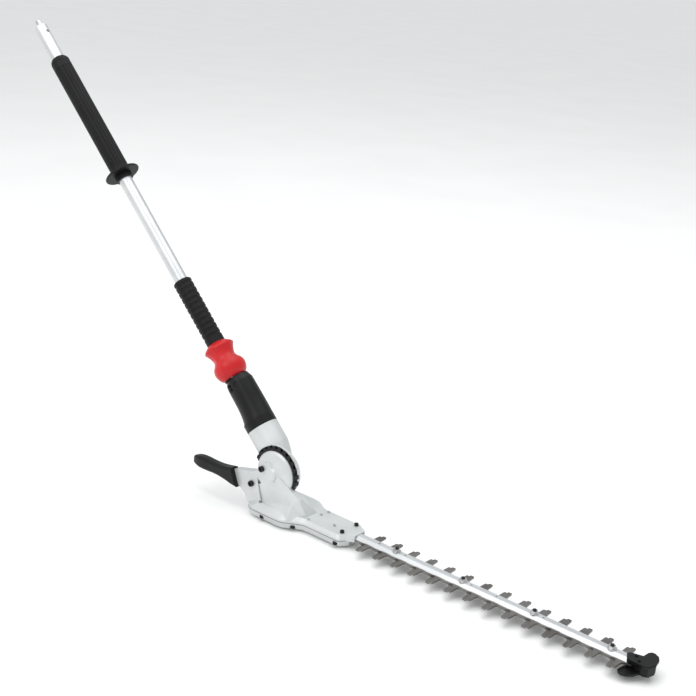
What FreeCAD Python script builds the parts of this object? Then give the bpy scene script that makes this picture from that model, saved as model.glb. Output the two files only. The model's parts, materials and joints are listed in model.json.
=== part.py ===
"""Pole hedge trimmer attachment: a tube with two grips, an articulated gear head and a double-sided cutter.

Row frame: origin at the centre of the tube's open end, +X along the cutter towards its tip,
+Y across the cutter, +Z up.  The tube comes down from the origin at the elbow angle to the pivot
of the gear head.  Three working frames carry the pieces:
  POLE   origin on the pivot, Z up along the tube, Y along the pivot axis
  HEAD   origin on the pivot, X along the cutter, Y along the pivot axis, Z up
  BLADE  origin in the parting plane of the two blades under the pivot, X along the cutter
"""

import FreeCAD, Part
import math
import os
import re
import Sketcher

V = FreeCAD.Vector
ACROSS = V(0, 1, 0)
UP = V(0, 0, 1)

SIZES = [
    ("elbow_angle", 45, "angle between the tube and the cutter at rest, degrees"),
    ("pivot_distance", 938.2, "from the tube's open end to the pivot axis"),
    ("blade_drop", 67, "from the pivot axis down to the parting plane of the blades"),
    ("tube_radius", 12, "outside of the tube"),
    ("tube_wall", 1.5, "wall of the tube"),
    ("tube_bottom", 70, "lower end of the tube above the pivot"),
    ("press_gap", 0.05, "radial play between a sleeve and what it is pushed on"),
    ("running_gap", 0.05, "radial play of a shaft in its bearing"),
    ("body_gap", 0.4, "clearance between castings that pass each other"),
    ("hole_radius", 3.3, "locating hole near the tube's open end"),
    ("hole_drop", 17, "locating hole below the tube's open end"),
    ("shaft_radius", 3.5, "drive shaft inside the tube"),
    ("shaft_square", 6, "square drive end, across flats"),
    ("shaft_stub", 15, "square end beyond the tube"),
    ("bush_length", 16, "drive shaft bushing"),
    ("grip_radius", 17.5, "upper grip over its ribs"),
    ("grip_bottom", 612, "lower end of the upper grip"),
    ("grip_top", 865, "upper end of the upper grip"),
    ("flute_depth", 1.1, "grooves along the upper grip"),
    ("guard_radius", 32, "hand guard disc"),
    ("guard_thick", 4, "hand guard disc"),
    ("sleeve_grip_radius", 16.75, "lower grip"),
    ("sleeve_grip_bottom", 242, "lower end of the lower grip"),
    ("sleeve_grip_top", 381, "upper end of the lower grip"),
    ("rib_depth", 1.2, "grooves around the lower grip"),
    ("rib_pitch", 10.6, "spacing of the grooves around the lower grip"),
    ("neck_radius", 28.2, "gear case and lock housing where they meet"),
    ("housing_bottom", 83, "joint between gear case and lock housing"),
    ("housing_top", 182, "upper end of the lock housing"),
    ("sleeve_bottom", 182.8, "lower end of the release sleeve"),
    ("sleeve_top", 251, "upper end of the release sleeve"),
    ("case_face", 19.5, "near face of the pole gear case from the tube axis"),
    ("case_radius", 40, "round end of the pole gear case about the pivot"),
    ("disc_radius", 39.4, "cheek disc of the head"),
    ("disc_face", 28, "edge of the cheek disc from the tube axis"),
    ("hub_face", 40.5, "outer face of the head's hub from the tube axis"),
    ("journal_radius", 18, "journal of the head inside the pole gear case"),
    ("ring_radius", 43.8, "lock ring between its teeth"),
    ("tooth_radius", 47.5, "lock ring over its teeth"),
    ("notch_pitch", 15, "angle between lock notches, degrees"),
    ("bevel_radius", 11.2, "pitch radius of the upper bevel pair"),
    ("bevel_face", 3.7, "face width of the upper bevel pair, along the axis"),
    ("bevel_teeth", 14, "teeth of each upper bevel gear"),
    ("idler_radius", 3, "cross shaft on the pivot axis"),
    ("transfer_offset", 31, "transfer and upright shafts from the tube axis, across"),
    ("transfer_angle", 51.5, "slope of the transfer shaft from the vertical, degrees"),
    ("transfer_length", 38, "transfer shaft between its two bevel apexes"),
    ("transfer_radius", 7, "pitch radius of the two bevel pairs in the head"),
    ("gear_module", 1.25, "module of the crank gear and its pinion"),
    ("pinion_teeth", 12, "teeth of the pinion"),
    ("crank_teeth", 45, "teeth of the crank gear"),
    ("gear_half", 2.5, "half the thickness of the crank gear"),
    ("crank_throw", 8.75, "throw of the two eccentrics, half the stroke"),
    ("crank_shaft_radius", 4, "shaft of the crank gear"),
    ("cam_radius", 13.25, "eccentric disc"),
    ("rod_length", 65, "connecting rod between its centres"),
    ("rod_thick", 3, "connecting rod and eccentric"),
    ("rod_gap", 0.5, "rod above the face of the gear and of the blade tail"),
    ("lobe_half", 51.5, "half width of the crank case"),
    ("neck_half", 30.5, "half width of the neck of the case"),
    ("lobe_back", 50, "crank case behind the pivot"),
    ("neck_front", 154, "front of the neck ahead of the pivot"),
    ("parting_drop", 1.8, "underside of the upper casting below the parting plane of the blades"),
    ("gasket_thick", 0.6, "gasket between casting and cover"),
    ("cover_drop", 13, "underside of the bottom cover below the parting plane"),
    ("first_tooth", 192.4, "first cutter tooth ahead of the pivot"),
    ("tooth_pitch", 35, "spacing of the cutter teeth"),
    ("tooth_count", 14, "teeth on each side of a blade"),
    ("tooth_reach", 32.7, "tooth tips from the centre line"),
    ("spine_half", 11, "half width of a blade's spine"),
    ("blade_thick", 2.45, "thickness of a blade"),
    ("blade_play", 0.05, "half the play between the two blades"),
    ("blade_phase", 3.5, "shift of each blade at rest, opposite ways"),
    ("bar_top", 7.5, "top of the guide bar above the parting plane"),
    ("bar_flat", 4.6, "half width of the flat on top of the guide bar"),
    ("bolt_spacing", 129, "distance between blade bolts"),
    ("first_bolt", 53, "first blade bolt beyond the first tooth"),
    ("bolt_radius", 3, "blade bolt"),
]

doc = FreeCAD.newDocument("hedge_trimmer")
sheet = doc.addObject("Spreadsheet::Sheet", "Sizes")
nodes = []


def fill_sheet():
    """Writes every driving dimension, with its alias and meaning."""
    for row, (alias, number, meaning) in enumerate(SIZES, start=1):
        sheet.set(f"A{row}", alias)
        sheet.set(f"B{row}", str(number))
        sheet.set(f"C{row}", meaning)
        sheet.setAlias(f"B{row}", alias)
    doc.recompute()


fill_sheet()
ALIASES = {alias for alias, _, _ in SIZES}


def size(alias):
    """Value of one cell of the sheet."""
    return float(sheet.get(alias))


def bound(expression):
    """Expression in which every alias points at the sheet."""
    return re.sub(r"[a-z_]+", lambda word: f"Sizes.{word[0]}" if word[0] in ALIASES else word[0],
                  expression)


# ---------------------------------------------------------------- working frames

def turn(axis, angle):
    """Placement that only turns, by an angle in degrees."""
    return FreeCAD.Placement(V(), FreeCAD.Rotation(axis, angle))


def shift(x=0, y=0, z=0):
    """Placement that only moves."""
    return FreeCAD.Placement(V(x, y, z), FreeCAD.Rotation())


ELBOW = math.radians(size("elbow_angle"))
PIVOT = V(math.sin(ELBOW), 0, -math.cos(ELBOW)) * size("pivot_distance")
HEAD = FreeCAD.Placement(PIVOT, FreeCAD.Rotation())
POLE = HEAD * turn(ACROSS, -size("elbow_angle"))
BLADE = HEAD * shift(z=-size("blade_drop"))


# ---------------------------------------------------------------- ways of making a piece

def placed(item, frame):
    """Registers a finished sub-part under its own name, standing in its frame."""
    item.Label = item.Name
    item.Placement = frame * item.Placement
    nodes.append(item)
    return item


def polygon_sketch(body, role, corners):
    """Closed polygon on one of the body's origin planes, each corner bound to the sheet."""
    sketch = body.newObject("Sketcher::SketchObject", body.Name + "_outline")
    origin_plane = next(plane for plane in body.Origin.OriginFeatures if plane.Role == role)
    sketch.AttachmentSupport = [(origin_plane, "")]
    sketch.MapMode = "FlatFace"
    count = len(corners)
    start = [V(40 * math.cos(2 * math.pi * i / count), 40 * math.sin(2 * math.pi * i / count), 0)
             for i in range(count)]
    for i in range(count):
        sketch.addGeometry(Part.LineSegment(start[i], start[(i + 1) % count]), False)
    for i in range(count):
        sketch.addConstraint(Sketcher.Constraint("Coincident", i, 2, (i + 1) % count, 1))
    for i, corner in enumerate(corners):
        for kind, expression in zip(("DistanceX", "DistanceY"), corner):
            index = sketch.addConstraint(Sketcher.Constraint(kind, -1, 1, i, 1, 1.0))
            sketch.setExpression(f"Constraints[{index}]", bound(str(expression)))
    return sketch


def turned_body(name, corners, about="Z"):
    """Body turned about Z or Y; corners are (radius, height along the axis)."""
    body = doc.addObject("PartDesign::Body", name)
    sketch = polygon_sketch(body, "XZ_Plane" if about == "Z" else "XY_Plane", corners)
    revolution = body.newObject("PartDesign::Revolution", name + "_turn")
    revolution.Profile = sketch
    revolution.ReferenceAxis = (sketch, ["V_Axis"])
    revolution.Angle = 360
    return body


def cylinder(name, radius, height, place=FreeCAD.Placement()):
    """Part primitive whose radius and height are expressions."""
    item = doc.addObject("Part::Cylinder", name)
    item.setExpression("Radius", bound(str(radius)))
    item.setExpression("Height", bound(str(height)))
    item.Placement = place
    return item


def block(name, lengths, place=FreeCAD.Placement()):
    """Part primitive box whose three lengths are expressions."""
    item = doc.addObject("Part::Box", name)
    for side, expression in zip(("Length", "Width", "Height"), lengths):
        item.setExpression(side, bound(str(expression)))
    item.Placement = place
    return item


def cut(name, base, tools):
    """Base less its tools."""
    item = doc.addObject("Part::Cut", name)
    item.Base = base
    item.Tool = joined(name + "_tools", tools)
    return item


def joined(name, pieces):
    """Pieces as one solid, or the single piece itself."""
    if len(pieces) == 1:
        return pieces[0]
    item = doc.addObject("Part::MultiFuse", name)
    item.Shapes = pieces
    return item


def group(name, pieces):
    """Identical or paired pieces kept as separate solids of one node."""
    item = doc.addObject("Part::Compound", name)
    item.Links = pieces
    return item


def feature(name, shape):
    """Sub-part whose form is worked out in this file."""
    item = doc.addObject("Part::Feature", name)
    item.Shape = shape
    return item


# ---------------------------------------------------------------- shapes worked out here

def disc(radius, low, high, centre=V()):
    """Cylinder along Z between two heights."""
    return Part.makeCylinder(radius, high - low, centre + UP * low)


def wheel(radius, near, far, centre=V()):
    """Cylinder along Y between two offsets across."""
    return Part.makeCylinder(radius, far - near, centre + ACROSS * near, ACROSS)


def box(x, y, z):
    """Box between pairs of limits."""
    return Part.makeBox(x[1] - x[0], y[1] - y[0], z[1] - z[0], V(x[0], y[0], z[0]))


def rounded_wire(points, radii):
    """Closed wire in the XY plane whose corners carry arcs of the given radii."""
    edges, ends = [], []
    count = len(points)
    for i, corner in enumerate(points):
        before = (points[i - 1] - corner).normalize()
        after = (points[(i + 1) % count] - corner).normalize()
        half = before.getAngle(after) / 2
        reach = radii[i] / math.tan(half)
        middle = corner + (before + after).normalize() * (radii[i] / math.sin(half) - radii[i])
        first, last = corner + before * reach, corner + after * reach
        edges.append(Part.Arc(first, middle, last).toShape())
        ends.append((first, last))
    for i in range(count):
        edges.append(Part.LineSegment(ends[i][1], ends[(i + 1) % count][0]).toShape())
    return Part.Wire(Part.__sortEdges__(edges))


def polygon(points):
    """Closed straight-sided face."""
    return Part.Face(Part.makePolygon(list(points) + [points[0]]))


def mirrored(half):
    """Points of a half outline followed by their mirror images across the centre line."""
    return half + [V(p.x, -p.y, p.z) for p in reversed(half)]


def lofted(low, high):
    """Straight-sided solid between two wires."""
    return Part.makeLoft([low, high], True, True)


def facets(points, faces):
    """Closed solid from corner points and flat triangles or quads given by index."""
    shell = Part.makeShell([polygon([points[i] for i in face]) for face in faces])
    solid = Part.makeSolid(shell)
    return solid if solid.Volume > 0 else solid.reversed()


def gear_outline(teeth, pitch, addendum, dedendum, share, phase):
    """Closed outline of a gear with straight-flanked teeth, each taking a share of the pitch."""
    points = []
    step = 2 * math.pi / teeth
    slope = math.tan(math.radians(24))
    for tooth in range(teeth):
        middle = phase + tooth * step
        for side, radii in ((-1, (pitch - dedendum, pitch + addendum)), (1, (pitch + addendum, pitch - dedendum))):
            for radius in radii:
                half = share * step / 2 - (radius - pitch) * slope / pitch
                angle = middle + side * half
                points.append(V(radius * math.cos(angle), radius * math.sin(angle), 0))
    return Part.makePolygon(points + [points[0]])


def bevel_gear(teeth, pitch, face, share, phase, cone=45):
    """Straight bevel gear with its apex at the origin, its back up Z and a given half cone angle."""
    module = 2 * pitch / teeth
    back = pitch / math.tan(math.radians(cone))
    large = gear_outline(teeth, pitch, 0.7 * module, 1.0 * module, share, phase)
    large.translate(UP * back)
    small = large.copy()
    small.scale(1 - face / back, V())
    return lofted(small, large)


def facing(apex, back, toward):
    """Placement with Z along a gear's axis to its back and X turned towards its mate."""
    return FreeCAD.Placement(apex, FreeCAD.Rotation(toward, V(), back, "ZXY"))


def socket_screw(head_radius, head_height, hex_size, place):
    """Socket head of a screw standing on its seat, with a hexagon recess, pointing up Z."""
    head = disc(head_radius, 0, head_height)
    corners = [V(hex_size * math.cos(math.radians(60 * i)), hex_size * math.sin(math.radians(60 * i)), head_height)
               for i in range(6)]
    recess = polygon(corners).extrude(UP * -0.6 * head_height)
    solid = head.cut(recess)
    solid.Placement = place
    return solid


# ---------------------------------------------------------------- pole: tube and grips

def pole_tube():
    """Tube with the locating hole near its open end and a groove where the coupling stops."""
    tube = turned_body("pole_tube_blank", [
        ("tube_radius - tube_wall", "tube_bottom"),
        ("tube_radius", "tube_bottom"),
        ("tube_radius", "grip_top - 1.7"),
        ("tube_radius - 0.6", "grip_top - 1.7"),
        ("tube_radius - 0.6", "grip_top"),
        ("tube_radius", "grip_top"),
        ("tube_radius", "pivot_distance"),
        ("tube_radius - tube_wall", "pivot_distance"),
    ])
    hole = cylinder("pole_tube_hole", "hole_radius", "tube_radius + 2", turn(ACROSS, 90))
    hole.setExpression("Placement.Base.z", bound("pivot_distance - hole_drop"))
    placed(cut("pole_tube", tube, [hole]), POLE)


def upper_grip():
    """Long rubber grip with flutes along it."""
    blank = turned_body("upper_grip_blank", [
        ("tube_radius + press_gap", "grip_bottom"),
        ("grip_radius", "grip_bottom"),
        ("grip_radius", "grip_top - 7"),
        ("grip_radius - 1.2", "grip_top - 3"),
        ("grip_radius - 3.5", "grip_top"),
        ("tube_radius + press_gap", "grip_top"),
    ])
    flutes = []
    for i in range(18):
        angle = math.radians(20 * i)
        flute = cylinder(f"flute_{i}", 1.5, "grip_top - grip_bottom - 34")
        reach = size("grip_radius") + 1.5 - size("flute_depth")
        flute.Placement = shift(reach * math.cos(angle), reach * math.sin(angle), size("grip_bottom") + 12)
        flutes.append(flute)
    placed(cut("upper_grip", blank, flutes), POLE)


def hand_guard():
    """Disc that keeps the hand on the grip."""
    placed(turned_body("hand_guard", [
        ("tube_radius + press_gap", "grip_bottom - guard_thick - 10"),
        ("tube_radius + 3.5", "grip_bottom - guard_thick - 10"),
        ("tube_radius + 3.5", "grip_bottom - guard_thick"),
        ("guard_radius - 1", "grip_bottom - guard_thick"),
        ("guard_radius", "grip_bottom - guard_thick + 1"),
        ("guard_radius", "grip_bottom - 1"),
        ("guard_radius - 1", "grip_bottom"),
        ("tube_radius + press_gap", "grip_bottom"),
    ]), POLE)


def lower_grip():
    """Rubber grip with grooves around its upper part."""
    corners = [("tube_radius + press_gap", "sleeve_grip_bottom"), ("sleeve_grip_radius", "sleeve_grip_bottom")]
    for i in reversed(range(11)):
        groove = f"sleeve_grip_top - 8 - {i} * rib_pitch"
        corners += [("sleeve_grip_radius", groove + " - 2.2"), ("sleeve_grip_radius - rib_depth", groove + " - 1"),
                    ("sleeve_grip_radius - rib_depth", groove + " + 1"), ("sleeve_grip_radius", groove + " + 2.2")]
    corners += [("sleeve_grip_radius", "sleeve_grip_top - 2"), ("sleeve_grip_radius - 2", "sleeve_grip_top"),
                ("tube_radius + press_gap", "sleeve_grip_top")]
    placed(turned_body("lower_grip", corners), POLE)


def shaft_bushings():
    """Bushings that centre the drive shaft in the tube."""
    rings = []
    for i, height in enumerate((120, 320, 520, 720, 900)):
        outer = cylinder(f"bush_outer_{i}", "tube_radius - tube_wall - 0.02", "bush_length")
        inner = cylinder(f"bush_inner_{i}", "shaft_radius + running_gap", "bush_length + 2", shift(z=-1))
        ring = cut(f"bush_{i}", outer, [inner])
        ring.Placement = shift(z=height)
        rings.append(ring)
    placed(group("shaft_bushings", rings), POLE)


# ---------------------------------------------------------------- pole: lock housing and release

def pawl_channel(spare):
    """Space of the cranked lock rod beside the tube, with spare room all round."""
    low = box((7 - spare, 12 + spare), (-23.5 - spare, -20.2 + spare), (47.6, 84 + 13 * bool(spare)))
    step = box((6 - spare, 12 + spare), (-23.5 - spare, -13 + spare), (74 - spare, 84 + 13 * bool(spare)))
    high = box((6 - spare, 11 + spare), (-16.5 - spare, -13 + spare), (80, 197 + 16 * bool(spare)))
    return low.fuse(step).fuse(high).removeSplitter()


def lock_housing():
    """Moulded housing over the tube above the gear case, leaner on the side towards the user."""
    neck = size("neck_radius")
    low, high = size("housing_bottom"), size("housing_top")
    lean = V(0.69, 0.73, 0)
    band = disc(neck, low, low + 16)
    levels = ((low + 15.9, 27.4, 0.6), (low + 22, 26.7, 1.4), (high - 17, 24.6, 2.9), (high - 11, 24.4, 3.0))
    rings = [Part.Wire(Part.makeCircle(radius, lean * offset + UP * height, UP))
             for height, radius, offset in levels]
    body = Part.makeLoft(rings, True, False)
    cap = Part.makeCone(24.4, 20.2, 11, lean * 3.0 + UP * (high - 11), UP)
    top = disc(20.2, high - 1, high)
    solid = band.fuse(body).fuse(cap).fuse(top.common(cap.fuse(disc(20.2, high - 1, high))))
    solid = solid.removeSplitter()
    solid = solid.cut(disc(size("tube_radius") + size("press_gap"), low - 1, high + 1))
    solid = solid.cut(pawl_channel(0.4))
    recess = box((-7, 3), (-40, -21), (high - 24, high - 6))
    solid = solid.cut(recess.common(disc(60, low, high)))
    placed(feature("lock_housing", solid), POLE)


def lock_housing_screws():
    """Two small screws in the recess of the lock housing."""
    heads = [socket_screw(2.6, 2.6, 1.3, shift(-2, -21, size("housing_top") - drop) * turn(V(1, 0, 0), 90))
             for drop in (11, 18)]
    placed(feature("lock_housing_screws", Part.makeCompound(heads)), POLE)


def release_sleeve():
    """Collar that is pulled up to free the lock, with a pointed rim and two finger hollows."""
    bottom, top = "sleeve_bottom", "sleeve_top"
    blank = turned_body("release_sleeve_blank", [
        ("tube_radius + 0.5", bottom),
        ("20", bottom),
        ("25", bottom + " + 6"),
        ("28.8", bottom + " + 14"),
        ("29.3", bottom + " + 22"),
        ("27", bottom + " + 28"),
        ("23.2", bottom + " + 36"),
        ("23.2", bottom + " + 45"),
        ("24.2", bottom + " + 52"),
        ("27.6", top + " - 10"),
        ("26.6", top + " - 7"),
        ("17.6", top),
        ("sleeve_grip_radius + 0.5", top),
        ("sleeve_grip_radius + 0.5", bottom + " + 45"),
        ("tube_radius + 0.5", bottom + " + 38"),
    ])
    hollows = []
    for i, side in enumerate((-1, 1)):
        hollow = doc.addObject("Part::Sphere", f"finger_hollow_{i}")
        hollow.Radius = 16
        hollow.Placement = shift(side * 37 * math.sin(ELBOW), side * 37 * math.cos(ELBOW),
                                 size("sleeve_bottom") + 38)
        hollows.append(hollow)
    channel = feature("sleeve_channel", pawl_channel(0.01))
    placed(cut("release_sleeve", blank, hollows + [channel]), POLE)


def lock_pawl():
    """Cranked rod from the release sleeve down to the lock ring."""
    placed(feature("lock_pawl", pawl_channel(0)), POLE)


# ---------------------------------------------------------------- pole: gear case

def pole_gear_case():
    """Casting that joins the tube to the pivot: round neck, flat near face, domed far side."""
    neck, face = size("neck_radius"), size("case_face")
    seat = size("housing_bottom")
    levels = ((seat, neck, 0), (45, neck, 0), (24, 25.4, -2.4), (0, 19.2, -6.5))
    rings = [Part.Wire(Part.makeCircle(radius, V(0, across, height), UP)) for height, radius, across in levels]
    solid = Part.makeLoft(rings[:2], True, True)
    solid = solid.fuse(Part.makeLoft(rings[1:], True, False))
    solid = solid.fuse(pivot_dome())
    solid = solid.fuse(lock_shroud())
    reach = size("tooth_radius") + size("body_gap")
    solid = solid.cut(wheel(reach, -80, -face))
    below = box((-80, 80), (-80, -face), (-80, 20))
    outside = wheel(reach + 2.2, -80, 0)
    solid = solid.cut(below.cut(outside))
    solid = solid.cut(box((-80, 0), (-80, -face), (-80, 20)))
    for hollow in pole_case_hollows():
        solid = solid.cut(hollow)
    placed(feature("pole_gear_case", solid.removeSplitter()), POLE)


def pivot_dome():
    """Round end about the pivot: rim, shoulder and the low boss of the far bearing."""
    radius, face = size("case_radius"), size("case_face")
    profile = [V(0, -face, 0), V(radius, -face, 0), V(radius, -10, 0)]
    curve = Part.BezierCurve()
    curve.setPoles([V(radius, -10, 0), V(radius - 2, 2, 0), V(16, 2, 0), V(10, 13, 0)])
    edges = [Part.makePolygon(profile), curve.toShape(), Part.makePolygon([V(10, 13, 0), V(0, 13, 0), profile[0]])]
    outline = Part.Wire([edge for shape in edges for edge in shape.Edges])
    return Part.Face(outline).revolve(V(), ACROSS, 360)


def lock_shroud():
    """Lip that covers the teeth of the lock ring beside the tube."""
    inner = size("tooth_radius") + size("body_gap")
    section = [V(30, -size("case_face"), 0), V(inner, -size("case_face"), 0), V(inner, -23, 0),
               V(inner + 1.6, -23, 0), V(inner + 1.2, -19, 0), V(inner - 2, -15, 0), V(30, -6, 0)]
    sector = polygon(section).revolve(V(), ACROSS, 92)
    sector.rotate(V(), ACROSS, -62)
    return sector


def pole_case_hollows():
    """Tube socket, shaft bearing seat, bevel chamber, pivot bores and the rod's channel."""
    running = size("running_gap")
    return [
        disc(size("tube_radius") + size("press_gap"), size("tube_bottom"), 90),
        disc(11, 44, 62),
        disc(8, 20, size("tube_bottom") + 1),
        disc(15, 1, 24),
        wheel(15, -size("case_face") + 4, 0),
        wheel(size("journal_radius") + running, -30, -size("case_face") + 4.1),
        wheel(21, -size("case_face") + 3.9, -size("case_face") + 6.8),
        wheel(size("idler_radius") + running, -1, 11),
        wheel(8.6, 13, 40),
        pawl_channel(0.4),
    ]


def pivot_cap():
    """Cap over the far bearing of the cross shaft."""
    placed(turned_body("pivot_cap", [("0", "13"), ("8", "13"), ("8", "14.4"), ("6.5", "15.6"), ("0", "15.6")], "Y"),
           POLE)


def shaft_bearing():
    """Ball bearing of the drive shaft above the bevel gear."""
    outer = cylinder("shaft_bearing_outer", 10.98, 8, shift(z=46))
    inner = cylinder("shaft_bearing_bore", "shaft_radius + running_gap", 10, shift(z=45))
    placed(cut("shaft_bearing", outer, [inner]), POLE)


# ---------------------------------------------------------------- drive line

def drive_shaft():
    """Long shaft in the tube with its square driven end."""
    rod = cylinder("shaft_rod", "shaft_radius", "pivot_distance - 12", shift(z=12))
    square = block("shaft_end", ("shaft_square", "shaft_square", "shaft_stub + 10"))
    square.Placement = shift(-size("shaft_square") / 2, -size("shaft_square") / 2, size("pivot_distance") - 10)
    placed(joined("drive_shaft", [rod, square]), POLE)


def drive_pinion():
    """Bevel gear at the lower end of the drive shaft."""
    gear = bevel_gear(int(size("bevel_teeth")), size("bevel_radius"), size("bevel_face"), 0.40, 0)
    hub = disc(7, size("bevel_radius") - 0.01, 19)
    solid = gear.fuse(hub).cut(disc(size("shaft_radius"), 11.99, 20))
    solid.Placement = facing(V(), UP, -ACROSS)
    placed(feature("drive_pinion", solid.removeSplitter()), POLE)


def cross_shaft():
    """Shaft on the pivot axis that carries drive from the pole into the head."""
    placed(cylinder("cross_shaft", "idler_radius", 47.5, shift(y=10) * turn(V(1, 0, 0), 90)), POLE)


def cross_gear():
    """Bevel gear on the cross shaft, in mesh with the drive pinion."""
    teeth = int(size("bevel_teeth"))
    gear = bevel_gear(teeth, size("bevel_radius"), size("bevel_face"), 0.40, math.pi / teeth)
    hub = disc(8, size("bevel_radius") - 0.01, size("bevel_radius") + 2.2)
    solid = gear.fuse(hub).cut(disc(size("idler_radius"), 0, 30))
    solid.Placement = facing(V(), -ACROSS, UP)
    placed(feature("cross_gear", solid.removeSplitter()), POLE)


# ---------------------------------------------------------------- head: shafts from the pivot to the crank

SLOPE = math.radians(size("transfer_angle"))
DOWNHILL = V(-math.sin(SLOPE), 0, -math.cos(SLOPE))
UPPER_APEX = V(0, -size("transfer_offset"), 0)
LOWER_APEX = UPPER_APEX + DOWNHILL * size("transfer_length")
MODULE = size("gear_module")
CENTRES = MODULE * (size("pinion_teeth") + size("crank_teeth")) / 2
CRANK_X = LOWER_APEX.x + math.sqrt(CENTRES ** 2 - size("transfer_offset") ** 2)
CRANK = BLADE * shift(CRANK_X)
CRANK_ANGLE = math.acos(size("blade_phase") / size("crank_throw"))
BEVEL_TEETH = 12
BEVEL_PLAY = 0.7


def hubbed_bevel(cone, phase, bore, hub_radius, hub_length):
    """Bevel gear of the head with its hub, bored for its shaft."""
    pitch = size("transfer_radius")
    back = pitch / math.tan(math.radians(cone))
    gear = bevel_gear(BEVEL_TEETH, pitch, 0.3 * back, 0.34, phase, cone)
    hub = disc(hub_radius, back - 0.01, back + hub_length)
    return gear.fuse(hub).cut(disc(bore, -1, back + 20)).removeSplitter()


def transfer_bevel():
    """Bevel gear on the near end of the cross shaft."""
    gear = hubbed_bevel(45, 0, size("idler_radius"), 5, 0.4)
    gear.Placement = facing(UPPER_APEX - ACROSS * BEVEL_PLAY, -ACROSS, DOWNHILL)
    placed(feature("transfer_bevel", gear), HEAD)


def transfer_shaft():
    """Short sloping shaft with a bevel gear at each end."""
    length, radius = size("transfer_length"), size("transfer_radius")
    cone = (180 - size("transfer_angle")) / 2
    back = radius / math.tan(math.radians(cone))
    rod = Part.makeCylinder(2.5, length - back - radius - 0.4, UPPER_APEX + DOWNHILL * (radius + 0.4), DOWNHILL)
    placed(feature("transfer_shaft", rod), HEAD)
    upper = hubbed_bevel(45, math.pi / BEVEL_TEETH, 2.5, 4.5, 2)
    upper.Placement = facing(UPPER_APEX + DOWNHILL * BEVEL_PLAY, DOWNHILL, -ACROSS)
    placed(feature("transfer_gear_upper", upper), HEAD)
    lower = hubbed_bevel(cone, 0, 2.5, 4.5, 3)
    lower.Placement = facing(LOWER_APEX, -DOWNHILL, -UP)
    placed(feature("transfer_gear_lower", lower), HEAD)


def down_shaft():
    """Upright shaft from the transfer shaft to the pinion of the crank gear."""
    cone = (180 - size("transfer_angle")) / 2
    gear = hubbed_bevel(cone, math.pi / BEVEL_TEETH, 3, 5, 3)
    gear.Placement = facing(LOWER_APEX, -UP, -DOWNHILL)
    placed(feature("down_bevel", gear), HEAD)
    top = LOWER_APEX.z - size("transfer_radius") / math.tan(math.radians(cone))
    rod = disc(3, -size("blade_drop") - 8, top, V(LOWER_APEX.x, LOWER_APEX.y, 0))
    placed(feature("down_shaft", rod), HEAD)


def spur_gear(teeth, phase, bore):
    """Spur gear about Z, centred on the parting plane."""
    thick = size("gear_half")
    outline = gear_outline(teeth, MODULE * teeth / 2, 0.7 * MODULE, 1.05 * MODULE, 0.42, phase)
    solid = Part.Face(outline).extrude(UP * 2 * thick)
    solid.translate(UP * -thick)
    return solid.cut(disc(bore, -thick - 1, thick + 1))


def down_pinion():
    """Pinion at the foot of the upright shaft."""
    towards_crank = math.atan2(-LOWER_APEX.y, CRANK_X - LOWER_APEX.x)
    solid = spur_gear(int(size("pinion_teeth")), towards_crank, 3)
    placed(feature("down_pinion", solid), BLADE * shift(LOWER_APEX.x, LOWER_APEX.y))


def crank_gear():
    """Large gear that carries the two eccentrics."""
    teeth = int(size("crank_teeth"))
    towards_pinion = math.atan2(LOWER_APEX.y, LOWER_APEX.x - CRANK_X)
    placed(feature("crank_gear", spur_gear(teeth, towards_pinion + math.pi / teeth, size("crank_shaft_radius"))), CRANK)


def crank_shaft():
    """Short shaft on which the crank gear turns."""
    placed(cylinder("crank_shaft", "crank_shaft_radius", 19), CRANK * shift(z=-10))


def throw(side):
    """Centre of the upper (+1) or lower (-1) eccentric from the crank axis."""
    reach = side * size("crank_throw")
    return V(reach * math.cos(CRANK_ANGLE), reach * math.sin(CRANK_ANGLE), 0)


def eccentric(name, side):
    """Disc that drives one connecting rod, above or below the crank gear."""
    low = size("gear_half") if side > 0 else -size("gear_half") - size("rod_gap") - size("rod_thick")
    solid = disc(size("cam_radius"), low, low + size("rod_gap") + size("rod_thick"), throw(side))
    placed(feature(name, solid.cut(disc(size("crank_shaft_radius"), -20, 20))), CRANK)


def connecting_rod(name, side):
    """Rod from an eccentric to the tail of its blade."""
    centre, length = throw(side), size("rod_length")
    swing = -math.asin(centre.y / length)
    small = centre + V(length * math.cos(swing), length * math.sin(swing), 0)
    thick = size("rod_thick")
    low = size("gear_half") + size("rod_gap") if side > 0 else -size("gear_half") - size("rod_gap") - thick
    shank = box((12, length - 4), (-4.5, 4.5), (low, low + thick))
    shank.Placement = FreeCAD.Placement(centre, FreeCAD.Rotation(UP, math.degrees(swing)))
    solid = disc(size("cam_radius") + 3.8, low, low + thick, centre).fuse(shank)
    solid = solid.fuse(disc(6, low, low + thick, small))
    solid = solid.cut(disc(size("cam_radius") + size("running_gap"), -20, 20, centre))
    solid = solid.cut(disc(3, -20, 20, small))
    placed(feature(name, solid.removeSplitter()), CRANK)


def crank_bearings():
    """Bearings of the crank shaft in casting and cover."""
    rings = []
    for i, low in enumerate((-10, 6.6)):
        outer = cylinder(f"crank_bearing_outer_{i}", 10, 2.4)
        bore = cylinder(f"crank_bearing_bore_{i}", "crank_shaft_radius + running_gap", 5, shift(z=-1))
        ring = cut(f"crank_bearing_{i}", outer, [bore])
        ring.Placement = shift(z=low)
        rings.append(ring)
    placed(group("crank_bearings", rings), CRANK)


# ---------------------------------------------------------------- head: casting and covers

CASE_SCREW_PLACES = ((-19, -39, 9), (77, -24, 8.2), (80.4, 5, 8.2), (82.4, 22, 8.2), (120.4, -8, 8))


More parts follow.
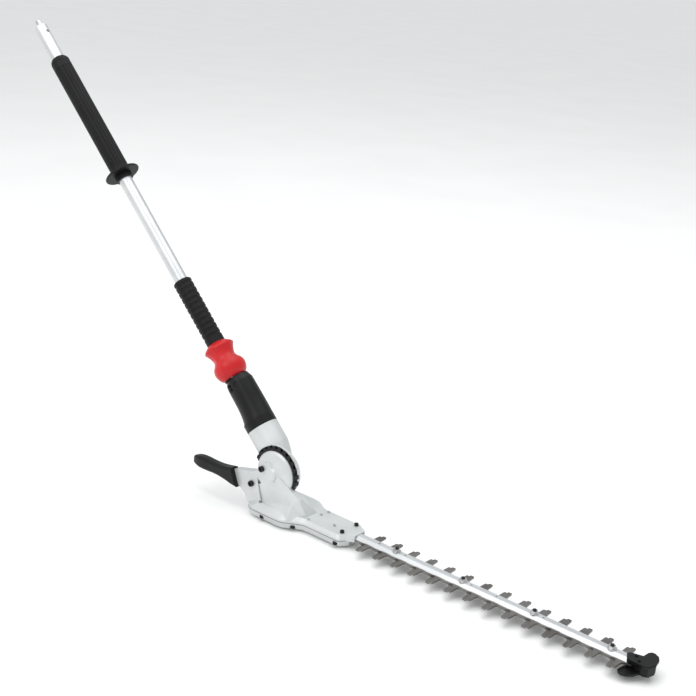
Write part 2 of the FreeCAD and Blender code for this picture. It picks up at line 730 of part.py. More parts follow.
def case_points(shoulder=0, neck_shoulder=0):
    """Outline of the crank case and its neck, brought in by the width of each one's shoulder."""
    lobe, neck = size("lobe_half") - shoulder, size("neck_half") - neck_shoulder
    back, front = -size("lobe_back") + shoulder, size("neck_front") - neck_shoulder
    half = [V(back, lobe, 0), V(38, lobe, 0), V(70, neck, 0), V(front - 6, neck, 0),
            V(front + 6, 14 - neck_shoulder, 0)]
    radii = [26 - shoulder, 26, 30, 6, 2]
    return mirrored(half), radii + radii[::-1]


def case_wire(height, spare=0):
    """Outline of the case at one height, brought in by a spare width."""
    wire = rounded_wire(*case_points())
    if spare:
        wire = wire.makeOffset2D(-spare, 2)
    return wire.translated(UP * height)


def wedge_body():
    """Sloping gear housing between the hub and the crank case, with its near and right facets."""
    foot = 3 - size("blade_drop")
    corners = [V(-27.2, -40, -14.4), V(-3.1, -40, 9.5), V(-8.2, -40, 19.5), V(-8.2, -21, 19.5), V(-27.2, -21, -14.4),
               V(-17.1, -36.3, -56.4), V(46.6, -33, -41), V(57.9, -28, -29.7), V(57.9, -21, -29.7),
               V(-26, -48, foot), V(48, -46, foot), V(72, -20, foot), V(72, 10, foot), V(-26, 24, foot)]
    faces = [(0, 1, 6), (0, 6, 5), (1, 2, 7), (1, 7, 6), (2, 3, 8), (2, 8, 7), (0, 4, 3), (0, 3, 2), (0, 2, 1),
             (5, 6, 10), (5, 10, 9), (6, 7, 11), (6, 11, 10), (7, 8, 12), (7, 12, 11),
             (4, 0, 5), (4, 5, 9), (4, 9, 13), (3, 4, 13), (3, 13, 12), (3, 12, 8), (9, 10, 11, 12, 13)]
    return facets(corners, faces)


def handle_bracket():
    """Flat cheek behind the hub that carries the handle."""
    points = [V(-82.6, 0, -16), V(-72, 0, -42), V(-56, 0, -52), V(-49, 0, -66), V(-20, 0, -66), V(-18, 0, -56.4),
              V(-28, 0, -14.4), V(-4, 0, 9.5), V(-9, 0, 18.5), V(-21, 0, 15), V(-31, 0, -3)]
    face = polygon(points)
    return face.extrude(ACROSS * 14).translated(ACROSS * -size("hub_face"))


def cheek():
    """Round cheek with its chamfered rim, dished face, hub and journal."""
    rim, face = size("disc_radius"), size("disc_face")
    profile = [V(0, -size("hub_face"), 0), V(10.5, -size("hub_face"), 0), V(12.5, -36, 0), V(20, -33.5, 0),
               V(34, -31.5, 0), V(rim - 3, -face - 3, 0), V(rim, -face, 0), V(rim, -face + 2, 0),
               V(30, -face + 2, 0), V(30, -20.2, 0), V(size("journal_radius"), -20.2, 0),
               V(size("journal_radius"), -14.2, 0), V(0, -14.2, 0)]
    return polygon(profile).revolve(V(), ACROSS, 360)


def clamp_nose():
    """Front of the casting that grips the root of the guide bar."""
    first = size("first_tooth")
    low = [V(first - 52, 25, 0), V(first - 44, 25, 0), V(first - 24, 13.5, 0)]
    wire = Part.makePolygon(mirrored(low) + [low[0]])
    return Part.Face(wire).extrude(UP * 10.8).translated(UP * -size("parting_drop"))


def crank_case():
    """Crank case and neck: upright rim, sloping shoulders and a top that falls towards the front."""
    rim = -size("parting_drop")
    top = rounded_wire(*case_points(13, 6)).translated(UP * 11)
    solid = lofted(case_wire(rim), case_wire(2)).fuse(lofted(case_wire(1.9), top))
    side = [V(-80, 0, -5), V(-80, 0, 10.5), V(35, 0, 10.5), V(75, 0, 8.2), V(200, 0, 7.4), V(200, 0, -5)]
    return solid.common(polygon(side).extrude(ACROSS * 160).translated(V(0, -80, 0)))


def gear_case():
    """Main casting of the head."""
    drop = size("blade_drop")
    solid = crank_case().fuse(clamp_nose())
    solid.translate(UP * -drop)
    upper = cheek().fuse(handle_bracket()).fuse(wedge_body())
    solid = solid.fuse(upper.cut(pole_sweep()))
    bar_seat = box((size("first_tooth") - 26, 240), (-size("spine_half"), size("spine_half")), (2.5, size("bar_top")))
    bar_seat.translate(UP * -drop)
    screw_seats = [disc(2.8, z - drop, z - drop + 4, V(x, y, 0)) for x, y, z in CASE_SCREW_PLACES]
    for hollow in head_hollows() + base_hollows(size("parting_drop") + 1, 6.5, -drop) + [bar_seat] + screw_seats:
        solid = solid.cut(hollow)
    placed(feature("gear_case", solid), HEAD)


def pole_sweep():
    """Space that the pole gear case needs beside the cheek as the head folds."""
    gap = size("body_gap")
    lip = size("tooth_radius") + gap + 1.6
    space = wheel(lip + gap, -size("case_face") - gap, 60)
    space = space.cut(wheel(size("journal_radius"), -30, -14.2))
    ring = wheel(lip + gap, -23 - gap, -18).cut(wheel(size("tooth_radius") - gap, -30, 0))
    seat = ring_sector(30, size("tooth_radius") + gap, -26, -19)
    seat.Placement = ring_turn()
    return space.fuse(ring).fuse(seat)


def head_hollows():
    """Chambers of the shafts in the head, cut from the casting."""
    radius, offset = size("transfer_radius") + 1.4, size("transfer_offset")
    slack = size("running_gap")
    low_gear = LOWER_APEX + DOWNHILL * 2
    return [
        wheel(size("idler_radius") + slack, -39.4, 0),
        wheel(13, -20, -14),
        wheel(radius, -39.4, -offset + 3),
        Part.makeCylinder(radius, 13, UPPER_APEX - DOWNHILL * 3, DOWNHILL),
        Part.makeCylinder(2.5 + slack, size("transfer_length"), UPPER_APEX, DOWNHILL),
        Part.makeCylinder(9, 11, low_gear, -DOWNHILL),
        disc(9, LOWER_APEX.z - 9, LOWER_APEX.z + 2, V(LOWER_APEX.x, LOWER_APEX.y, 0)),
        disc(3 + slack, -size("blade_drop") - 9, LOWER_APEX.z, V(LOWER_APEX.x, LOWER_APEX.y, 0)),
    ]


def base_hollows(low, high, lift):
    """Crank room, pinion room, rod room and blade channel between two heights."""
    rooms = [
        disc(29.5, -low, high, V(CRANK_X, 0, 0)),
        disc(9.6, -low, 3, V(LOWER_APEX.x, LOWER_APEX.y, 0)),
        box((CRANK_X, 72), (-24, 24), (-low, high)),
        box((20, 240), (-size("spine_half") - 0.4, size("spine_half") + 0.4), (-low, 2.6)),
        disc(10, -low, high + 3, V(CRANK_X, 0, 0)),
    ]
    return [room.translated(UP * lift) for room in rooms]


def case_gasket():
    """Thin gasket between the casting and the bottom cover."""
    drop, thick = size("parting_drop"), size("gasket_thick")
    solid = lofted(case_wire(-drop - thick, -0.3), case_wire(-drop, -0.3))
    for room in base_hollows(5, 5, 0):
        solid = solid.cut(room)
    placed(feature("case_gasket", solid.removeSplitter()), BLADE)


def cover_screw_places():
    """Screws along both sides of the bottom cover."""
    near = [(-6, size("lobe_half") - 3.5), (54, 36.5), (140, size("neck_half") - 2.5)]
    return [V(x, side * across, 0) for x, across in near for side in (-1, 1)]


def bottom_cover():
    """Cover under the crank room, with notches for its screws."""
    top, low = -size("parting_drop") - size("gasket_thick"), -size("cover_drop")
    solid = lofted(case_wire(low, 3.5), case_wire(top, 0.6))
    solid = solid.cut(disc(29.5, low + 2, top + 1, V(CRANK_X, 0, 0)))
    solid = solid.cut(disc(9.6, -3, top + 1, V(LOWER_APEX.x, LOWER_APEX.y, 0)))
    solid = solid.cut(disc(3.05, -9, top + 1, V(LOWER_APEX.x, LOWER_APEX.y, 0)))
    solid = solid.cut(box((CRANK_X, 72), (-24, 24), (-6.6, top + 1)))
    channel = size("spine_half") + 0.4
    solid = solid.cut(box((20, 240), (-channel, channel), (-2.6, top + 1)))
    solid = solid.cut(disc(10, -10, -5, V(CRANK_X, 0, 0)))
    for place in cover_screw_places():
        solid = solid.cut(disc(4.6, low - 1, -6.5, place))
    placed(feature("bottom_cover", solid.removeSplitter()), BLADE)


def cover_screws():
    """Black socket screws of the bottom cover."""
    heads = [socket_screw(4, 4.4, 2, FreeCAD.Placement(place - UP * 6.5, FreeCAD.Rotation(V(1, 0, 0), 180)))
             for place in cover_screw_places()]
    placed(feature("cover_screws", Part.makeCompound(heads)), BLADE)


RING_START = -32
RING_SPAN = 192


def ring_sector(inner, outer, near, far):
    """Part of a ring about the pivot, over the angles that the lock ring takes up."""
    section = polygon([V(inner, near, 0), V(outer, near, 0), V(outer, far, 0), V(inner, far, 0)])
    return section.revolve(V(), ACROSS, RING_SPAN)


def ring_turn():
    """Placement of the lock ring in the head."""
    return turn(ACROSS, RING_START - 90 - size("elbow_angle"))


def lock_ring():
    """Toothed ring that locks the head at each angle."""
    root, tip, pitch = size("ring_radius"), size("tooth_radius"), size("notch_pitch")
    ring = ring_sector(30.02, root, -26, -20.1)
    tooth = box((root - 1, tip), (-26, -20.1), (-3.4, 3.4)).common(wheel(tip, -30, 0))
    for i in range(int(RING_SPAN / pitch)):
        copy = tooth.copy()
        copy.rotate(V(), ACROSS, (i + 0.5) * pitch)
        ring = ring.fuse(copy)
    ring = ring.removeSplitter()
    ring.Placement = ring_turn()
    placed(feature("lock_ring", ring), HEAD)


# ---------------------------------------------------------------- head: handle and small parts

def handle_grip():
    """Short black handle used to swing the head, flared where it meets its bracket."""
    stations = ((-64, 17, 10), (-84, 15.5, 10), (-100, 12.5, 10), (-125, 10.5, 9.5), (-165, 10.5, 9), (-177, 7, 6))
    rings = []
    for x, tall, wide in stations:
        ring = rounded_wire([V(wide, tall, 0), V(-wide, tall, 0), V(-wide, -tall, 0), V(wide, -tall, 0)],
                            [0.6 * wide] * 4)
        ring.Placement = FreeCAD.Placement(V(x, -40, -28), FreeCAD.Rotation(V(0, 1, 0), V(0, 0, 1), V(1, 0, 0), "XYZ"))
        rings.append(ring)
    solid = Part.makeLoft(rings, True, False)
    edge = polygon([V(-82.6, -80, -16), V(-72, -80, -42), V(-60, -80, -71), V(0, -80, -71), V(0, -80, 40),
                    V(-105.4, -80, 40)])
    placed(feature("handle_grip", solid.cut(edge.extrude(ACROSS * 100))), HEAD)


def handle_bolts():
    """Black socket bolts on the handle bracket."""
    upright = turn(V(1, 0, 0), 90)
    heads = [socket_screw(5.2, 4.5, 2.6, shift(x, -size("hub_face"), z) * upright)
             for x, z in ((-40.4, -28.2), (-18.2, 6.6))]
    placed(feature("handle_bolts", Part.makeCompound(heads)), HEAD)


def case_screws():
    """Small screws in the top of the casting."""
    heads = [socket_screw(2.6, 1.6, 1.2, shift(*place)) for place in CASE_SCREW_PLACES]
    placed(feature("case_screws", Part.makeCompound(heads)), BLADE)


def clamp_bolts():
    """Black bolts that hold the guide bar's root in the nose."""
    first = size("first_tooth")
    heads = [socket_screw(3.6, 4, 1.8, shift(first - 46.5, side * 18.5, 9)) for side in (-1, 1)]
    placed(feature("clamp_bolts", Part.makeCompound(heads)), BLADE)


# ---------------------------------------------------------------- head: cutter

def bolt_places():
    """Distances of the blade bolts ahead of the pivot."""
    return [size("first_tooth") + size("first_bolt") + i * size("bolt_spacing") for i in range(4)]


def blade(name, side):
    """Double-sided blade: spine, teeth on both edges and slots for the bolts."""
    low = size("blade_play") if side > 0 else -size("blade_play") - size("blade_thick")
    shift_x = side * size("blade_phase")
    first, pitch, spine = size("first_tooth") + 0.5, size("tooth_pitch"), size("spine_half")
    count, reach = int(size("tooth_count")), size("tooth_reach")
    last = first + (count - 1) * pitch
    flank = [(12, spine), (8, spine + 0.8), (5.6, spine + 2.8), (4.2, spine + 7), (3.6, reach - 1.6), (2.6, reach)]
    tooth = [(-x, y) for x, y in flank] + flank[::-1]
    edge = [V(44, spine, 0)]
    edge += [V(first + i * pitch + x, y, 0) for i in range(count) for x, y in tooth]
    edge += [V(last + 17, spine, 0)]
    solid = polygon(mirrored(edge)).extrude(UP * size("blade_thick"))
    tail = CRANK_X + math.sqrt(size("rod_length") ** 2 - throw(1).y ** 2)
    cuts = [disc(3, -1, 9, V(tail, 0, 0))]
    for x in bolt_places():
        cuts.append(box((x - 8.75, x + 8.75), (-4, 4), (-1, 9)))
        cuts += [disc(4, -1, 9, V(x + end, 0, 0)) for end in (-8.75, 8.75)]
    solid = solid.cut(Part.makeCompound(cuts))
    placed(feature(name, solid.removeSplitter()), BLADE * shift(shift_x, 0, low))


def guide_bar():
    """Bar over the blades with bevelled edges, drilled for the bolts."""
    half, flat, top = size("spine_half"), size("bar_flat"), size("bar_top")
    section = [V(0, half, 2.6), V(0, half, 4), V(0, flat, top), V(0, -flat, top), V(0, -half, 4), V(0, -half, 2.6)]
    first = size("first_tooth")
    solid = polygon(section).extrude(V(496, 0, 0)).translated(V(first - 26, 0, 0))
    for x in bolt_places():
        solid = solid.cut(disc(size("bolt_radius") + 0.05, 0, 20, V(x, 0, 0)))
    for distance in (17.6, 70.7, 198, 244, 327):
        solid = solid.cut(disc(1.6, 0, 20, V(first + distance, 0, 0)))
    placed(feature("guide_bar", solid), BLADE)


def blade_bolts():
    """Bolts that hold the blades to the bar, with their spacer sleeves and flange nuts."""
    radius, top = size("bolt_radius"), size("bar_top")
    bolts, nuts, sleeves = [], [], []
    for x in bolt_places():
        centre = V(x, 0, 0)
        bolts.append(disc(6.5, -5.4, -2.6, centre).fuse(disc(radius, -2.7, top + 7, centre)).removeSplitter())
        hexagon = [V(x + 5.6 * math.cos(i * math.pi / 3), 5.6 * math.sin(i * math.pi / 3), top + 1.2)
                   for i in range(6)]
        nut = disc(7.2, top, top + 1.3, centre).fuse(polygon(hexagon).extrude(UP * 4)).removeSplitter()
        nuts.append(nut.cut(disc(radius + 0.02, top - 1, top + 9, centre)))
        sleeves.append(disc(3.85, -2.58, 2.58, centre).cut(disc(radius + 0.02, -3, 3, centre)))
    placed(feature("blade_bolts", Part.makeCompound(bolts)), BLADE)
    placed(feature("blade_nuts", Part.makeCompound(nuts)), BLADE)
    placed(feature("blade_sleeves", Part.makeCompound(sleeves)), BLADE)


def tip_guard():
    """Black plastic guard at the tip: ribbed block, nose and two swept wings."""
    block_shape = polygon([V(462, 3, -6.9), V(469, -11, -6.9), V(497, -11.5, -6.9), V(503, -8, -6.9),
                           V(506, 4, -6.9), V(503, 10, -6.9), V(484, 13, -6.9), V(465, 8, -6.9)]).extrude(UP * 16.4)
    nose = polygon([V(493, -14, -3), V(503, -13, -3), V(508, 0, -3), V(506.5, 6, -3), V(495, 8, -3)]).extrude(UP * 12)
    far_wing = polygon([V(482, 8, 5), V(483.8, 26, 5), V(487, 31, 5), V(492, 31.5, 5), V(499.7, 27, 5), V(504.2, 19, 5),
                        V(506, 5, 5)]).extrude(UP * 4)
    near_wing = polygon([V(463.3, -25.6, -6.9), V(467, -30, -6.9), V(472.6, -31.2, -6.9), V(480, -28.5, -6.9),
                         V(486, -22, -6.9), V(492.5, -8, -6.9), V(470, -5, -6.9), V(465.6, -11, -6.9)]).extrude(UP * 3.4)
    solid = block_shape.fuse(nose).fuse(far_wing).fuse(near_wing)
    half = size("spine_half") + 0.4
    solid = solid.cut(box((440, 485), (-half, half), (-3, 3)))
    section = polygon([V(440, half, 2.2), V(440, half, 4.2), V(440, size("bar_flat") + 0.2, size("bar_top") + 0.02),
                       V(440, -size("bar_flat") - 0.2, size("bar_top") + 0.02), V(440, -half, 4.2),
                       V(440, -half, 2.2)])
    solid = solid.cut(section.extrude(V(30.1, 0, 0)))
    solid = solid.cut(box((440, 481), (-60, 60), (-3, 3)))
    for i in range(4):
        solid = solid.cut(box((472, 494), (-30, -10.2), (3.4 + 1.6 * i, 4.2 + 1.6 * i)))
    placed(feature("tip_guard", solid.removeSplitter()), BLADE * shift(size("first_tooth")))


def tip_guard_screws():
    """Screws in the top of the tip guard."""
    heads = [socket_screw(2.4, 1.4, 1.1, shift(size("first_tooth") + x, y, 9.5)) for x, y in ((475, 6), (484, -3))]
    placed(feature("tip_guard_screws", Part.makeCompound(heads)), BLADE)


# ---------------------------------------------------------------- the whole tool

def build():
    """Makes every sub-part."""
    pole_tube()
    upper_grip()
    hand_guard()
    lower_grip()
    shaft_bushings()
    lock_housing()
    lock_housing_screws()
    release_sleeve()
    lock_pawl()
    pole_gear_case()
    pivot_cap()
    shaft_bearing()
    drive_shaft()
    drive_pinion()
    cross_shaft()
    cross_gear()
    transfer_bevel()
    transfer_shaft()
    down_shaft()
    down_pinion()
    crank_gear()
    crank_shaft()
    eccentric("eccentric_upper", 1)
    eccentric("eccentric_lower", -1)
    connecting_rod("connecting_rod_upper", 1)
    connecting_rod("connecting_rod_lower", -1)
    crank_bearings()
    gear_case()
    case_gasket()
    bottom_cover()
    cover_screws()
    lock_ring()
    handle_grip()
    handle_bolts()
    case_screws()
    clamp_bolts()
    blade("upper_blade", 1)
    blade("lower_blade", -1)
    guide_bar()
    blade_bolts()
    tip_guard()
    tip_guard_screws()


def check_and_export():
    """Stops on any failed object, then writes one file for each sub-part."""
    doc.recompute()
    failed = [item.Name for item in doc.Objects if {"Invalid", "Error"} & set(item.State)]
    if failed:
        raise SystemExit(f"failed objects: {failed}")
    for item in nodes:
        if item.Shape.isNull() or not item.Shape.isValid():
            raise SystemExit(f"bad shape: {item.Label}")
    os.makedirs("parts", exist_ok=True)
    for item in nodes:
        item.Shape.exportStep(f"parts/{item.Label}.step")
        print(f"{item.Label:24s} solids {len(item.Shape.Solids):3d}  volume {item.Shape.Volume:12.1f}")


build()
check_and_export()
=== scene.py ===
"""Looks of the pole hedge trimmer attachment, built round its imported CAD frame.

Every place is worked out from the frame.  The POLE frame has its origin on the head's pivot, Z up the
tube and Y across the tool.  Lengths are in metres, and in millimetres while a piece is being shaped.
"""

import json
import math

import bmesh
import bpy
from mathutils import Matrix, Vector


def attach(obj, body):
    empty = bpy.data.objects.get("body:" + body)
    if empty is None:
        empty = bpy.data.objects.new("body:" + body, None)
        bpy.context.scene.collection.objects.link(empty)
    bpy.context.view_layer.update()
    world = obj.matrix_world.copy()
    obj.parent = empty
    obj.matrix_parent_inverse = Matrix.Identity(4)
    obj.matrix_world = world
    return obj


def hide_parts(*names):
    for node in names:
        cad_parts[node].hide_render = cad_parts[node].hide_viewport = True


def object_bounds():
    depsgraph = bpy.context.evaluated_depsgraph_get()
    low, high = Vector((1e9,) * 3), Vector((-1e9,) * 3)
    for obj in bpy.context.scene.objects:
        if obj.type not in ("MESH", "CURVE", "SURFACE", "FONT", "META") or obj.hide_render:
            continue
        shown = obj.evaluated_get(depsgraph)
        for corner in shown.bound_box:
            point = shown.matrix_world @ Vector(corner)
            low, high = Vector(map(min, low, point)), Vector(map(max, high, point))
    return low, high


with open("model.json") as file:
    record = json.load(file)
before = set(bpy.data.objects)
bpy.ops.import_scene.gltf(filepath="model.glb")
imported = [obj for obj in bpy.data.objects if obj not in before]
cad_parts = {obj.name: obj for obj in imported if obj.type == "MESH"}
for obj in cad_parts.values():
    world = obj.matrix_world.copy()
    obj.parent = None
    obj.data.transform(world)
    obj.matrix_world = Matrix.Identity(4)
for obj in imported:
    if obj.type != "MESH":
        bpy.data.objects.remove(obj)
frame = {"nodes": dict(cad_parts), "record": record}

CAD_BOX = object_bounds()
MM = 0.001
JOINTS = {joint["name"]: joint for joint in frame["record"]["behaviour"]["joints"]}
PIVOT = Vector(JOINTS["head_tilt"]["pos_m"])
UP_POLE = Vector(JOINTS["release_slide"]["axis"]).normalized()
ACROSS = Vector((0, 1, 0))
POLE_AXES = Matrix((ACROSS.cross(UP_POLE), ACROSS, UP_POLE)).transposed()
POLE = Matrix.Translation(PIVOT) @ POLE_AXES.to_4x4()
SLEEVE_POINTS = frame["nodes"]["release_sleeve"].data.vertices
SLEEVE_FOOT = min((point.co - PIVOT).dot(UP_POLE) for point in SLEEVE_POINTS) / MM


# ---------------------------------------------------------------- materials

MOTTLE_SCALE = 28


def new_material(name, colour, metallic, roughness, gloss=0.5):
    """Principled material whose constants sit on the shader itself."""
    material = bpy.data.materials.new(name)
    material.use_nodes = True
    shader = material.node_tree.nodes["Principled BSDF"]
    shader.inputs["Base Color"].default_value = (*colour, 1)
    shader.inputs["Metallic"].default_value = metallic
    shader.inputs["Roughness"].default_value = roughness
    shader.inputs["Specular IOR Level"].default_value = gloss
    return material, shader


def noise(material, scale, detail=3.0, stretch=(1, 1, 1), turn=(0, 0, 0)):
    """Noise in object space, stretched after a turn; gives the texture node."""
    nodes, links = material.node_tree.nodes, material.node_tree.links
    place = nodes.new("ShaderNodeTexCoord")
    mapping = nodes.new("ShaderNodeMapping")
    mapping.vector_type = "TEXTURE"
    mapping.inputs["Rotation"].default_value = turn
    mapping.inputs["Scale"].default_value = stretch
    texture = nodes.new("ShaderNodeTexNoise")
    texture.inputs["Scale"].default_value = scale
    texture.inputs["Detail"].default_value = detail
    links.new(place.outputs["Object"], mapping.inputs["Vector"])
    links.new(mapping.outputs["Vector"], texture.inputs["Vector"])
    return texture


def ramp(material, source, low, high, start=0.35, end=0.65):
    """Colour ramp between two colours, fed by a texture's factor."""
    node = material.node_tree.nodes.new("ShaderNodeValToRGB")
    node.color_ramp.elements[0].position = start
    node.color_ramp.elements[1].position = end
    node.color_ramp.elements[0].color = (*low, 1)
    node.color_ramp.elements[1].color = (*high, 1)
    material.node_tree.links.new(source, node.inputs["Fac"])
    return node.outputs["Color"]


def spread(material, source, low, high):
    """Value that runs from low to high with a texture's factor."""
    node = material.node_tree.nodes.new("ShaderNodeMapRange")
    node.inputs["From Min"].default_value = 0.3
    node.inputs["From Max"].default_value = 0.7
    node.inputs["To Min"].default_value = low
    node.inputs["To Max"].default_value = high
    material.node_tree.links.new(source, node.inputs["Value"])
    return node.outputs["Result"]


def bump(material, shader, source, distance, strength=0.4):
    """Bump from a texture's factor, with its depth in metres."""
    node = material.node_tree.nodes.new("ShaderNodeBump")
    node.inputs["Strength"].default_value = strength
    node.inputs["Distance"].default_value = distance
    material.node_tree.links.new(source, node.inputs["Height"])
    material.node_tree.links.new(node.outputs["Normal"], shader.inputs["Normal"])


def textured(name, light, dark, metallic, rough, grain, depth, stretch=(1, 1, 1), turn=(0, 0, 0),
             gloss=0.5):
    """Material with mottled colour, uneven gloss and a fine grain."""
    material, shader = new_material(name, light, metallic, rough[0], gloss)
    links = material.node_tree.links
    broad = noise(material, MOTTLE_SCALE)
    fine = noise(material, grain, 4.0, stretch, turn)
    links.new(ramp(material, broad.outputs["Fac"], dark, light), shader.inputs["Base Color"])
    links.new(spread(material, fine.outputs["Fac"], *rough), shader.inputs["Roughness"])
    bump(material, shader, fine.outputs["Fac"], depth)
    return material


def make_materials():
    """One procedural material for each finish on the tool."""
    along_pole = (0, -math.pi / 4, 0)
    return {
        "tube": textured("tube", (0.66, 0.67, 0.68), (0.60, 0.61, 0.62), 0.55, (0.26, 0.36),
                         2500, 0.00002, (1, 1, 40), along_pole),
        "cast": textured("cast", (0.62, 0.64, 0.64), (0.57, 0.59, 0.59), 0.35, (0.36, 0.50),
                         1800, 0.00004),
        "grip_rubber": textured("grip_rubber", (0.007, 0.007, 0.008), (0.004, 0.004, 0.004), 0, (0.42, 0.55),
                                1500, 0.00005, gloss=0.22),
        "black_plastic": textured("black_plastic", (0.006, 0.006, 0.007), (0.003, 0.003, 0.003), 0,
                                  (0.30, 0.42), 2200, 0.00002, gloss=0.25),
        "red_plastic": textured("red_plastic", (0.56, 0.010, 0.014), (0.50, 0.007, 0.010), 0, (0.28, 0.36),
                                900, 0.00001, gloss=0.35),
        "blade_steel": textured("blade_steel", (0.24, 0.23, 0.22), (0.16, 0.15, 0.14), 0.9, (0.26, 0.40),
                                900, 0.00003, (40, 1, 1)),
        "steel": textured("steel", (0.66, 0.66, 0.66), (0.55, 0.55, 0.55), 0.95, (0.22, 0.36),
                          1400, 0.00002),
        "black_steel": textured("black_steel", (0.010, 0.010, 0.011), (0.006, 0.006, 0.006), 0.2,
                                (0.30, 0.44), 1600, 0.00003, gloss=0.3),
        "bronze": textured("bronze", (0.55, 0.38, 0.18), (0.45, 0.30, 0.14), 0.9, (0.35, 0.5),
                           1500, 0.00004),
        "gasket": textured("gasket", (0.015, 0.015, 0.015), (0.010, 0.010, 0.010), 0, (0.6, 0.75),
                           1500, 0.00004),
    }


def dress_nodes(materials):
    """Gives every carried CAD node the finish of its slot."""
    slots = {part["node"]: part["material_slot"] for part in frame["record"]["subparts"]}
    for name, node in frame["nodes"].items():
        node.data.materials.clear()
        node.data.materials.append(materials[slots[name]])


# ---------------------------------------------------------------- detailed pieces

# Release sleeve before its hollows and panels, then its rim and bore: radius, height over its foot.
SLEEVE_OUTSIDE = [(20.0, 0.0), (25.0, 5.0), (28.2, 12.0), (29.2, 19.0), (28.0, 26.0), (24.6, 33.0),
                  (22.8, 39.0), (23.0, 46.0), (24.4, 52.0), (27.2, 57.6)]
SLEEVE_RIM = [(27.5, 58.4), (27.3, 59.3), (25.9, 61.8), (22.3, 64.8), (18.6, 67.4), (17.6, 68.2)]
SLEEVE_BORE = [(17.25, 68.2), (17.25, 45.0), (12.5, 38.0), (12.5, 0.0)]
SLEEVE_COLUMNS = 144
STEPS_PER_SPAN = 5

HOLLOW_AZIMUTH = 45
HOLLOW_HEIGHT = 38
HOLLOW_SPREAD = 9.5
HOLLOW_DEPTH = 2.6
PANEL_RISE = 0.9
PANEL_ENDS = (5, 9, 56, 59)
WAIST_HEIGHT = 39
WAIST_SPREAD = 13

RECESS_AZIMUTH = math.radians(-54)
RECESS_BELOW_SLEEVE = 17.8
RECESS_HALF_WIDTH = 4.4
RECESS_HALF_HEIGHT = 7.6
RECESS_WIRE = 0.75
RECESS_SINK = 0.55
RECESS_STEPS = 48
WIRE_STEPS = 8
HOUSING_RADIUS = 24.4


def smooth_step(value, start, end):
    """Runs smoothly from 0 at start to 1 at end."""
    share = min(1, max(0, (value - start) / (end - start)))
    return share * share * (3 - 2 * share)


def curve_through(points, steps):
    """Rounded curve through the given (radius, height) points."""
    ends = [points[0], *points, points[-1]]
    curve = []
    for before, start, end, after in zip(ends, ends[1:], ends[2:], ends[3:]):
        for i in range(steps):
            t = i / steps
            curve.append(tuple(0.5 * (2 * q + (r - p) * t + (2 * p - 5 * q + 4 * r - s) * t * t
                                      + (3 * q - p - 3 * r + s) * t ** 3)
                               for p, q, r, s in zip(before, start, end, after)))
    return curve + [points[-1]]


def finish_piece(name, rings, body, slot_name, sharp):
    """Skins closed rings of POLE points in millimetres into a smooth piece that rides a body."""
    data = bmesh.new()
    loops = [[data.verts.new(point) for point in ring] for ring in rings]
    for one, two in zip(loops, loops[1:] + loops[:1]):
        for a, b, c, d in zip(one, two, two[1:] + two[:1], one[1:] + one[:1]):
            data.faces.new((a, b, c, d))
    bmesh.ops.recalc_face_normals(data, faces=data.faces)
    mesh = bpy.data.meshes.new(name)
    data.to_mesh(mesh)
    data.free()
    mesh.transform(POLE @ Matrix.Scale(MM, 4))
    mesh.shade_smooth()
    mesh.set_sharp_from_angle(angle=math.radians(sharp))
    mesh.materials.append(MATERIALS[slot_name])
    piece = bpy.data.objects.new(name, mesh)
    bpy.context.scene.collection.objects.link(piece)
    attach(piece, body)
    return piece


def sleeve_radius(radius, height, azimuth):
    """Outer radius of the sleeve: a turned form, pinched by two finger hollows between raised panels."""
    across = abs(math.cos(math.radians(azimuth - HOLLOW_AZIMUTH)))
    hollow = smooth_step(across, 0.55, 1.0) * math.exp(-((height - HOLLOW_HEIGHT) / HOLLOW_SPREAD) ** 2)
    waist = 0.42 + 0.22 * math.exp(-((height - WAIST_HEIGHT) / WAIST_SPREAD) ** 2)
    panel = 1 - smooth_step(across, 1 - waist - 0.06, 1 - waist + 0.02)
    low, full_low, full_high, high = PANEL_ENDS
    within = smooth_step(height, low, full_low) * (1 - smooth_step(height, full_high, high))
    return radius - HOLLOW_DEPTH * hollow + PANEL_RISE * panel * within


def make_sleeve():
    """Release sleeve: bulging foot, pinched waist and pointed upper rim round an open bore."""
    outside = curve_through(SLEEVE_OUTSIDE, STEPS_PER_SPAN)
    rings = []
    for column in range(SLEEVE_COLUMNS):
        azimuth = 360 * column / SLEEVE_COLUMNS
        turn = math.radians(azimuth)
        shaped = [(sleeve_radius(radius, height, azimuth), height) for radius, height in outside]
        rings.append([(radius * math.cos(turn), radius * math.sin(turn), SLEEVE_FOOT + height)
                      for radius, height in shaped + SLEEVE_RIM + SLEEVE_BORE])
    sleeve = finish_piece("release_sleeve_shell", rings, "release", "red_plastic", 50)
    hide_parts("release_sleeve")


def make_recess_rim():
    """Raised oval rim on the near side of the lock housing."""
    outward = Vector((math.cos(RECESS_AZIMUTH), math.sin(RECESS_AZIMUTH), 0))
    sideways = Vector((-math.sin(RECESS_AZIMUTH), math.cos(RECESS_AZIMUTH), 0))
    upward = Vector((0, 0, 1))
    rings = []
    for i in range(RECESS_STEPS):
        around = 2 * math.pi * i / RECESS_STEPS
        side, rise = RECESS_HALF_WIDTH * math.cos(around), RECESS_HALF_HEIGHT * math.sin(around)
        depth = math.sqrt(HOUSING_RADIUS ** 2 - side ** 2) - RECESS_SINK
        centre = outward * depth + sideways * side + upward * (SLEEVE_FOOT - RECESS_BELOW_SLEEVE + rise)
        spoke = sideways * math.cos(around) + upward * math.sin(around)
        turns = [2 * math.pi * k / WIRE_STEPS for k in range(WIRE_STEPS)]
        rings.append([centre + (spoke * math.cos(turn) + outward * math.sin(turn)) * RECESS_WIRE
                      for turn in turns])
    finish_piece("housing_recess_rim", rings, "pole", "black_plastic", 60)


# ---------------------------------------------------------------- stage

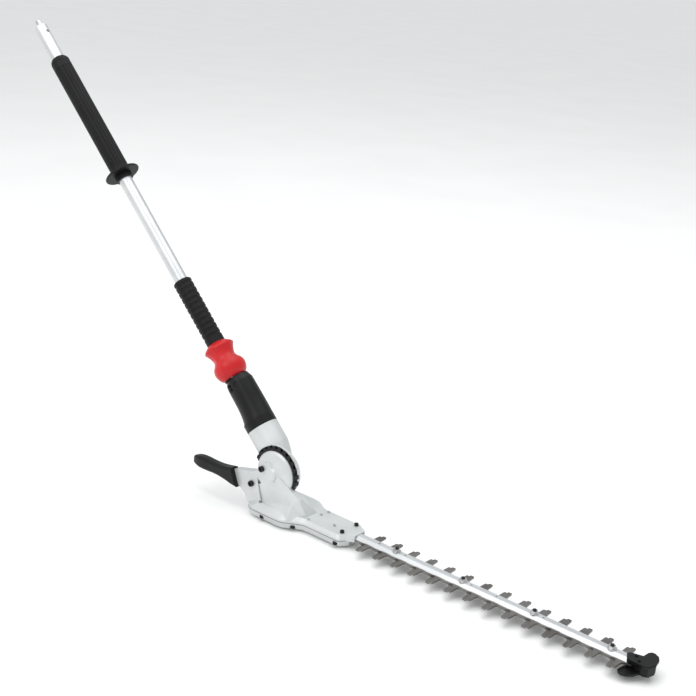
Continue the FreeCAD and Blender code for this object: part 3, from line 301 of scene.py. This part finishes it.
FLOOR_SIZE = 60
FLOOR_GAP = 0.004
CAMERA_PLACE = (1.92416, -1.45448, 0.22286)
CAMERA_RIGHT = Vector((0.76767, 0.63677, 0.07223))
CAMERA_UP = Vector((-0.26039, 0.20695, 0.94306))
CAMERA_VIEW = Vector((-0.58556, 0.74277, -0.32467))
CAMERA_LENS = 63.84


def area_light(name, place, aim, size, power):
    """Soft light aimed at a point."""
    light = bpy.data.lights.new(name, "AREA")
    light.shape = "RECTANGLE"
    light.size, light.size_y = size
    light.energy = power
    item = bpy.data.objects.new(name, light)
    item.location = place
    item.rotation_euler = (Vector(aim) - Vector(place)).to_track_quat("-Z", "Y").to_euler()
    bpy.context.scene.collection.objects.link(item)


def make_stage():
    """Pale floor under the lowest point and an even bright sky."""
    bpy.ops.mesh.primitive_plane_add(size=FLOOR_SIZE, location=(0.6, 0, CAD_BOX[0][2] - FLOOR_GAP))
    floor = bpy.context.object
    floor.name = "floor"
    material, shader = new_material("floor_paper", (0.93, 0.93, 0.93), 0, 0.9)
    mottle = noise(material, 3)
    paper = ramp(material, mottle.outputs["Fac"], (0.92, 0.92, 0.92), (0.94, 0.94, 0.94))
    material.node_tree.links.new(paper, shader.inputs["Base Color"])
    floor.data.materials.append(material)
    make_sky()
    target = (0.7, 0, -0.5)
    area_light("key", (0.2, -1.9, 1.5), target, (2.4, 1.6), 20)
    area_light("top", (0.7, 0.6, 3.2), target, (4.0, 4.0), 75)


def make_sky():
    """Bright studio wall on the near side that falls off to grey on the far side."""
    world = bpy.data.worlds.new("studio")
    world.use_nodes = True
    nodes, links = world.node_tree.nodes, world.node_tree.links
    place = nodes.new("ShaderNodeTexCoord")
    split = nodes.new("ShaderNodeSeparateXYZ")
    shade = nodes.new("ShaderNodeValToRGB")
    shade.color_ramp.elements[0].color = (0.92, 0.93, 0.93, 1)
    shade.color_ramp.elements[1].color = (0.62, 0.64, 0.65, 1)
    shade.color_ramp.elements[0].position = 0.25
    shade.color_ramp.elements[1].position = 0.80
    middle = nodes.new("ShaderNodeMapRange")
    middle.inputs["From Min"].default_value = -1
    links.new(place.outputs["Generated"], split.inputs["Vector"])
    links.new(split.outputs["Y"], middle.inputs["Value"])
    links.new(middle.outputs["Result"], shade.inputs["Fac"])
    links.new(shade.outputs["Color"], nodes["Background"].inputs["Color"])
    nodes["Background"].inputs["Strength"].default_value = 1.0
    bpy.context.scene.world = world
    bpy.context.scene.view_settings.view_transform = "Standard"


def make_camera():
    """Camera at the angle from which the tool is seen: past the tip, from the near side, a little above."""
    data = bpy.data.cameras.new("camera")
    data.sensor_width = 36
    data.lens = CAMERA_LENS
    data.clip_end = 30
    camera = bpy.data.objects.new("camera", data)
    turn = Matrix((CAMERA_RIGHT, CAMERA_UP, -CAMERA_VIEW)).transposed().to_4x4()
    camera.matrix_world = Matrix.Translation(CAMERA_PLACE) @ turn
    bpy.context.scene.collection.objects.link(camera)
    bpy.context.scene.camera = camera


MATERIALS = make_materials()
dress_nodes(MATERIALS)
make_sleeve()
make_recess_rim()
make_stage()
make_camera()
